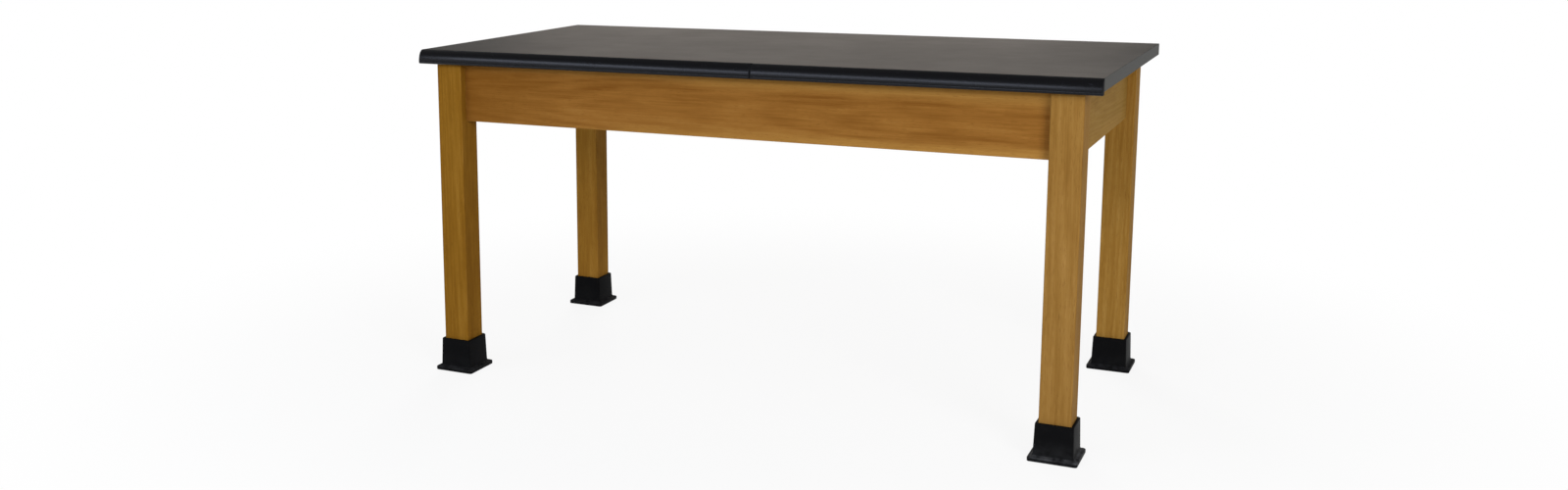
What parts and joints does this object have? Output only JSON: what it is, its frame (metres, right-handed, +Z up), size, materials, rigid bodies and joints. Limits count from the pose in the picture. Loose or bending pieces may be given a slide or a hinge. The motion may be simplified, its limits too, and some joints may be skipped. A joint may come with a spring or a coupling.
{
  "type": "science lab table",
  "caption": "Oak science lab table with a black laminated top, rounded front nosing, plain aprons, rubber leg boots and screw levellers.",
  "frame": {"origin": "on the floor, under the middle of the top", "axes": "+X along the length, +Y to the rear, +Z up; the nosing faces -Y"},
  "size_m": [1.524, 0.762, 0.762],
  "materials": {
    "honey_oak": "clear satin lacquer over honey-stained oak",
    "core_board": "raw particleboard",
    "black_laminate": "fine-textured black laminate with a low sheen",
    "black_nosing": "smooth glossy black vinyl",
    "black_band": "matt black edge band",
    "backer": "brown balancing sheet",
    "black_rubber": "moulded black rubber with a satin skin",
    "zinc_steel": "zinc plated",
    "beech": "plain turned beech",
    "nylon": "moulded nylon"
  },
  "bodies": {
    "table": {"top_core": "core_board", "top_laminate": "black_laminate", "backer_sheet": "backer", "left_end_band": "black_band", "right_end_band": "black_band", "rear_edge_band": "black_band", "front_nosing_left": "black_nosing", "front_nosing_right": "black_nosing", "front_apron": "honey_oak", "rear_apron": "honey_oak", "left_apron": "honey_oak", "right_apron": "honey_oak", "cross_rail": "honey_oak", "dowels": "beech", "hanger_bolts": "zinc_steel", "brace_washers": "zinc_steel", "brace_nuts": "zinc_steel", "brace_screws": "zinc_steel", "clip_screws": "zinc_steel", "top_clips": "zinc_steel", "leveller_inserts": "zinc_steel", "leg_front_left": "honey_oak", "corner_brace_front_left": "zinc_steel", "leg_front_right": "honey_oak", "corner_brace_front_right": "zinc_steel", "leg_rear_left": "honey_oak", "corner_brace_rear_left": "zinc_steel", "leg_rear_right": "honey_oak", "corner_brace_rear_right": "zinc_steel"},
    "boot_front_left": {"boot_front_left": "black_rubber"},
    "foot_front_left": {"leveller_foot_front_left": "nylon"},
    "stud_front_left": {"leveller_stud_front_left": "zinc_steel"},
    "boot_front_right": {"boot_front_right": "black_rubber"},
    "foot_front_right": {"leveller_foot_front_right": "nylon"},
    "stud_front_right": {"leveller_stud_front_right": "zinc_steel"},
    "boot_rear_left": {"boot_rear_left": "black_rubber"},
    "foot_rear_left": {"leveller_foot_rear_left": "nylon"},
    "stud_rear_left": {"leveller_stud_rear_left": "zinc_steel"},
    "boot_rear_right": {"boot_rear_right": "black_rubber"},
    "foot_rear_right": {"leveller_foot_rear_right": "nylon"},
    "stud_rear_right": {"leveller_stud_rear_right": "zinc_steel"}
  },
  "joints": [
    {"name": "boot_slide_front_left", "type": "slide", "parent": "table", "child": "boot_front_left", "axis": [0, 0, 1], "range_m": [0, 0.05]},
    {"name": "foot_slide_front_left", "type": "slide", "parent": "table", "child": "foot_front_left", "axis": [0, 0, -1], "range_m": [0, 0.01905]},
    {"name": "stud_turn_front_left", "type": "hinge", "parent": "foot_front_left", "child": "stud_front_left", "pos_m": [-0.69535, -0.32705, 0.01], "axis": [0, 0, -1], "range_deg": [0, 4321]},
    {"name": "boot_slide_front_right", "type": "slide", "parent": "table", "child": "boot_front_right", "axis": [0, 0, 1], "range_m": [0, 0.05]},
    {"name": "foot_slide_front_right", "type": "slide", "parent": "table", "child": "foot_front_right", "axis": [0, 0, -1], "range_m": [0, 0.01905]},
    {"name": "stud_turn_front_right", "type": "hinge", "parent": "foot_front_right", "child": "stud_front_right", "pos_m": [0.69535, -0.32705, 0.01], "axis": [0, 0, -1], "range_deg": [0, 4321]},
    {"name": "boot_slide_rear_left", "type": "slide", "parent": "table", "child": "boot_rear_left", "axis": [0, 0, 1], "range_m": [0, 0.05]},
    {"name": "foot_slide_rear_left", "type": "slide", "parent": "table", "child": "foot_rear_left", "axis": [0, 0, -1], "range_m": [0, 0.01905]},
    {"name": "stud_turn_rear_left", "type": "hinge", "parent": "foot_rear_left", "child": "stud_rear_left", "pos_m": [-0.69535, 0.32705, 0.01], "axis": [0, 0, -1], "range_deg": [0, 4321]},
    {"name": "boot_slide_rear_right", "type": "slide", "parent": "table", "child": "boot_rear_right", "axis": [0, 0, 1], "range_m": [0, 0.05]},
    {"name": "foot_slide_rear_right", "type": "slide", "parent": "table", "child": "foot_rear_right", "axis": [0, 0, -1], "range_m": [0, 0.01905]},
    {"name": "stud_turn_rear_right", "type": "hinge", "parent": "foot_rear_right", "child": "stud_rear_right", "pos_m": [0.69535, 0.32705, 0.01], "axis": [0, 0, -1], "range_deg": [0, 4321]}
  ],
  "couplings": [
    {"joint": "stud_turn_front_left", "follows": "foot_slide_front_left", "rad_per_m": 3957.9},
    {"joint": "stud_turn_front_right", "follows": "foot_slide_front_right", "rad_per_m": 3957.9},
    {"joint": "stud_turn_rear_left", "follows": "foot_slide_rear_left", "rad_per_m": 3957.9},
    {"joint": "stud_turn_rear_right", "follows": "foot_slide_rear_right", "rad_per_m": 3957.9}
  ]
}
